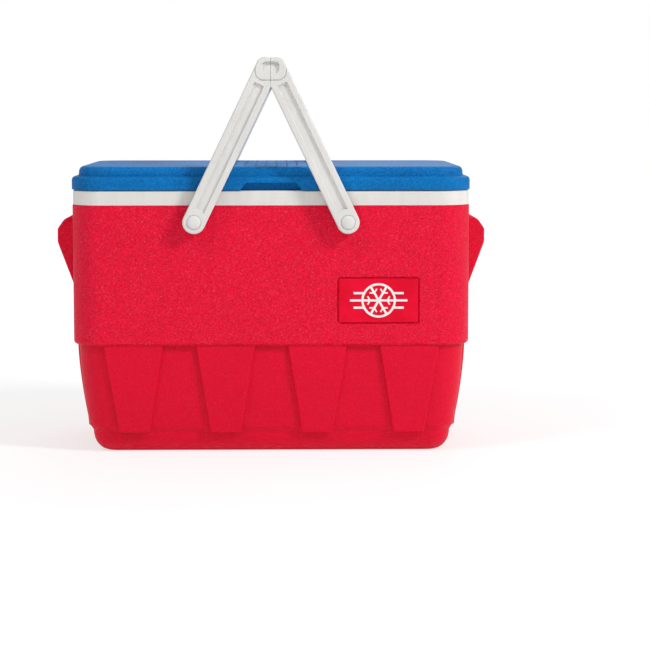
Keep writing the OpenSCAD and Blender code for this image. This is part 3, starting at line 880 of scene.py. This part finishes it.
def make_lid_pan():
    """Blue underside of the lid, with its ridge, star and wells."""
    ceiling, foot = LID_Z + PAN_H - PAN_T, LID_Z - RIDGE_H
    inner = RIDGE_IN + RIDGE_W
    wall, edge, lean = LID_T - LID_OVER + PAN_GAP, PAN_EDGE_R, RIDGE_LEAN
    shoulder = foot + RIDGE_R
    pan = piece_from("blue_lid_underside", tower(profile(
        (ceiling, inner + 3),
        bend((ceiling, inner + 2), (ceiling - 2, inner), "level", 3),
        bend((shoulder, inner - lean), (foot, inner - lean - RIDGE_R), "upright", 4),
        bend((foot, RIDGE_IN + 3), (shoulder, RIDGE_IN + 0.5), "level", 4),
        (LID_Z - edge, RIDGE_IN), (LID_Z, RIDGE_IN - edge),
        (LID_Z, wall + edge - PAN_GAP), (LID_Z + 0.6, wall),
        (LID_Z + PAN_H, wall), (LID_Z + PAN_H, inner))))
    carve(pan, notch(LID_T + PAN_GAP))
    carve(pan, star_plate(ceiling - STAR_RISE), "UNION")
    bottom, cup_r = ceiling + WELL_H, WELL_R + CUP_T
    cups = [placed(turned([(0, ceiling + 0.5), (cup_r, ceiling + 0.5),
                           (cup_r, bottom + CUP_T), (0, bottom + CUP_T)]),
                   move(x, y)) for x, y in WELLS]
    carve(pan, gather(cups), "UNION")
    mouth = WELL_R + WELL_FLARE
    holes = [placed(turned([(0, ceiling - 3), (mouth, ceiling - 3), (mouth, ceiling - STAR_RISE),
                            (WELL_R + 0.5, ceiling - 0.3), (WELL_R, ceiling + 0.8),
                            (WELL_R - 0.3, bottom - 1), (WELL_R - WELL_FLOOR_R, bottom),
                            (0, bottom)]),
                    move(x, y)) for x, y in WELLS]
    carve(pan, gather(holes))
    complete(pan, BLUE, "lid", ["lid_pan"])


# ---------------------------------------------------------------------------
# Handles
# ---------------------------------------------------------------------------
ARM_TILT = math.atan2(PIVOT_X - ARM_END_X, GRIP_Z - PIVOT_Z)
ALONG = Vector((-math.sin(ARM_TILT), math.cos(ARM_TILT)))
ACROSS = Vector((math.cos(ARM_TILT), math.sin(ARM_TILT)))
PIVOT = Vector((PIVOT_X, PIVOT_Z))
ARM_LENGTH = (GRIP_Z - PIVOT_Z) / math.cos(ARM_TILT)


def arm_point(along, across, radius=0.0):
    """Corner of an outline, measured from the pivot along and across the right-hand arm."""
    point = PIVOT + ALONG * along + ACROSS * across
    return point.x, point.y, radius


def arm_outline(trim):
    """Outline of the right-hand arm, which runs past the middle and is trimmed there later."""
    half, top = ARM_W / 2 - trim, TOP_Z - trim
    near_round = half - SHORT_OF_ROUND
    outer_top = (top - PIVOT_Z - ACROSS.y * half) / ALONG.y
    crotch = (-ARM_PAST - PIVOT_X + ACROSS.x * half) / ALONG.x
    return [arm_point(-half, -half, near_round), arm_point(-half, half, near_round),
            arm_point(outer_top, half, ARM_TOP_R), (-ARM_PAST, top, 0), arm_point(crotch, -half)]


def ring_outline(grow):
    """Outline of the raised ring at the grip's end, open towards the arm's top edge."""
    low, out, high = -BOSS_LOW - grow, BOSS_OUT + grow, 40
    return [(-CUT_PAST, low, 0), (out, low, BOSS_R + grow), (out, high, 0), (-CUT_PAST, high, 0)]


def channel():
    """Long sunk channel in an arm's face, with an arched foot around the hub."""
    half, arch, steps = CHANNEL_W / 2, ARM_W / 2 + CHANNEL_HUB_GAP, 5
    across = [half * (2 * k / steps - 1) for k in range(steps + 1)]
    foot = [arm_point(math.sqrt(arch ** 2 - x ** 2), x) for x in across]
    head = ARM_LENGTH - CHANNEL_HEAD_GAP
    return foot + [arm_point(head, half, CHANNEL_R), arm_point(head, -half, CHANNEL_R)]


def arm_slab(thickness, out, side, trim=0.0, soft_back=ARM_BACK_SOFT):
    """An arm's plate with its back at distance out from the wall."""
    form = slab(arm_outline(trim), thickness, soft=ARM_SOFT, soft_back=soft_back, steps=8)
    return placed(form, on_wall(0, out, 0, side))


def ring_boss(side):
    """Raised ring plate that follows the arm's outline at the grip's end."""
    back = ARM_GAP + ARM_T + BOSS_H - BOSS_T
    boss = piece_from("ring", arm_slab(BOSS_T, back, side, BOSS_TRIM, 0))
    carve(boss, placed(slab(ring_outline(0), BOSS_T, soft=BOSS_SOFT),
                       on_wall(0, back - 0.05, GRIP_Z, side)), "INTERSECT")
    return form_from(boss)


def pin_bore():
    """Bore for a pin, with a wider seat for its head."""
    seat, bore_r = ARM_T - HEAD_SINK, PIN_R + PIN_GAP
    seat_r, flare_r = HEAD_R + HEAD_GAP, HEAD_R + HEAD_FLARE
    return turned([(0, -1), (bore_r, -1), (bore_r, seat), (seat_r, seat), (seat_r, ARM_T - 0.5),
                   (flare_r, ARM_T + 0.1), (flare_r, ARM_T + 2), (0, ARM_T + 2)])


def finger_pocket():
    """Shallow pocket inside the raised ring, half of it on each handle."""
    out, low, high = POCKET_OUT, POCKET_LOW, POCKET_HIGH
    outline = [(-CUT_PAST, low, 0), (out, low, POCKET_LOW_R), (out, high, POCKET_HIGH_R),
               (-CUT_PAST, high, 0)]
    return slab(outline, 8, soft_back=CUT_SOFT)


def make_handle(name, body, node, side_x):
    """Handle of two arms and a half-round grip, made on the right and mirrored for the left."""
    face = ARM_GAP + ARM_T
    pocket_tilt = move(y=POCKET_MID) @ turn(-POCKET_TILT, "X") @ move(y=-POCKET_MID)
    length = 2 * (HALF_D + ARM_GAP + 2)
    near_round = GRIP_R - SHORT_OF_ROUND
    grip = slab([(-8, -GRIP_R, 0), (GRIP_R, -GRIP_R, near_round),
                 (GRIP_R, GRIP_R, near_round), (-8, GRIP_R, 0)], length, steps=10)
    handle = piece_from(name, placed(grip, move(0, length / 2, GRIP_Z) @ turn(90, "X")))
    for side in (-1, 1):
        carve(handle, arm_slab(ARM_T, ARM_GAP, side), "UNION")
        carve(handle, placed(slab(ring_outline(BOSS_GROOVE), 6),
                             on_wall(0, face - BOSS_GROOVE * 0.6, GRIP_Z, side)))
        carve(handle, ring_boss(side), "UNION")
        carve(handle, placed(slab(channel(), CHANNEL_DEEP + 1, soft_back=CUT_SOFT),
                             on_wall(0, face - CHANNEL_DEEP, 0, side)))
        carve(handle, placed(pin_bore(), on_wall(PIVOT_X, ARM_GAP, PIVOT_Z, side)))
        carve(handle, placed(finger_pocket(), on_wall(
            0, face + BOSS_H - POCKET_DEEP, GRIP_Z, side) @ pocket_tilt))
    carve(handle, block((-20, -200, PIVOT_Z), (PARTING / 2, 200, TOP_Z + 20)))
    if side_x < 0:
        form = bmesh.new()
        form.from_mesh(handle.data)
        placed(form, mirrored(x=-1))
        form.to_mesh(handle.data)
        form.free()
    complete(handle, HANDLE_WHITE, body, [node], sharp=30)


def make_pins():
    """Pins with domed heads that hold the handles in their sockets."""
    face = ARM_GAP + ARM_T
    seat, crown = face - HEAD_SINK + PIN_GAP, face + HEAD_RISE
    angles = [math.radians(degrees) for degrees in (82, 72, 60, 48, 36, 24, 12)]
    dome = [(HEAD_R * math.sin(angle), crown - HEAD_DOME * (1 - math.cos(angle)))
            for angle in angles]
    outline = [(0, -SOCKET_DEEP), (PIN_R - PIN_TIP, -SOCKET_DEEP), (PIN_R, PIN_TIP - SOCKET_DEEP),
               (PIN_R, seat), (HEAD_R - 0.3, seat), (HEAD_R, seat + 0.3),
               (HEAD_R, crown - HEAD_DOME), *dome, (0, crown)]
    for letters, x, side in (("fl", -1, -1), ("fr", 1, -1), ("bl", -1, 1), ("br", 1, 1)):
        pin = piece_from("pivot_button_" + letters,
                         placed(turned(outline), on_wall(x * PIVOT_X, 0, PIVOT_Z, side)))
        complete(pin, HANDLE_WHITE, "chest", ["pivot_pin_" + letters])


def finish_nodes(finish, *nodes):
    """Gives CAD nodes that aren't replaced their own finish."""
    for node in nodes:
        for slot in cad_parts[node].material_slots:
            slot.material = finish


make_shell()
make_liner()
make_badge()
make_lid_cap()
make_lid_pan()
make_handle("white_handle_right", "right_bail", "right_handle", 1)
make_handle("white_handle_left", "left_bail", "left_handle", -1)
make_pins()
finish_nodes(FOAM, "foam_core", "lid_foam")
finish_nodes(BADGE_PRINT, "badge_emblem")
finish_nodes(LINER_WHITE, "pivot_socket_fl", "pivot_socket_fr", "pivot_socket_bl",
             "pivot_socket_br")
finish_nodes(STEEL, "hinge_body_leaf", "hinge_lid_leaf", "hinge_pin", "body_screw_l",
             "body_screw_r", "lid_screw_l", "lid_screw_r")


# ---------------------------------------------------------------------------
# Studio, in metres
# ---------------------------------------------------------------------------
LIGHTS = (("key light", (2.2, -1.5, 2.0), 0.6, 60),
          ("fill light", (-1.6, -1.6, 2.6), 0.9, 27),
          ("back light", (0.3, 2.6, 2.2), 2.0, 28))
AIM = (0, 0, 0.2)
DAYLIGHT = 0.42
CAMERA_PLACE = (0.011, -2.437, 0.386)
CAMERA_DOWN = 5.996
CAMERA_ASIDE = 1.196
FOCAL_LENGTH = 116.4
SENSOR = 36
FLOOR_HALF = 9


def make_floor():
    """Plain floor."""
    form = bmesh.new()
    bmesh.ops.create_grid(form, x_segments=1, y_segments=1, size=FLOOR_HALF)
    mesh = bpy.data.meshes.new("studio_floor")
    form.to_mesh(mesh)
    form.free()
    mesh.materials.append(FLOOR)
    floor = bpy.data.objects.new("studio_floor", mesh)
    bpy.context.scene.collection.objects.link(floor)


def soft_light(name, place, width, power):
    """Round soft light that faces the cooler."""
    lamp = bpy.data.lights.new(name, "AREA")
    lamp.shape, lamp.size, lamp.energy = "DISK", width, power
    light = bpy.data.objects.new(name, lamp)
    light.location = place
    light.rotation_euler = (Vector(AIM) - Vector(place)).to_track_quat("-Z", "Y").to_euler()
    bpy.context.scene.collection.objects.link(light)


def make_daylight(scene):
    """Even white surroundings, dimmer on the cooler than behind it."""
    world = bpy.data.worlds.new("studio")
    scene.world = world
    world.use_nodes = True
    world.node_tree.nodes.clear()
    tree = Wire(world.node_tree)
    seen = tree.add("ShaderNodeLightPath", out="Is Camera Ray")
    glow = tree.add("ShaderNodeBackground", {}, {
        "Color": rgb(1.0, 1.0, 1.0), "Strength": DAYLIGHT + seen * (1 - DAYLIGHT)})
    tree.add("ShaderNodeOutputWorld", {}, {"Surface": glow})


def make_camera(scene):
    """Camera in front, looking slightly down."""
    lens = bpy.data.cameras.new("camera")
    lens.sensor_width, lens.lens = SENSOR, FOCAL_LENGTH
    lens.clip_start, lens.clip_end = 0.05, 60
    camera = bpy.data.objects.new("camera", lens)
    camera.location = CAMERA_PLACE
    camera.rotation_euler = (math.radians(90 - CAMERA_DOWN), 0, math.radians(-CAMERA_ASIDE))
    scene.collection.objects.link(camera)
    scene.camera = camera


def make_studio():
    """Floor, lights, surroundings and camera."""
    scene = bpy.context.scene
    make_floor()
    for light in LIGHTS:
        soft_light(*light)
    make_daylight(scene)
    make_camera(scene)
    scene.view_settings.view_transform = "Standard"


make_studio()

bpy.context.view_layer.update()
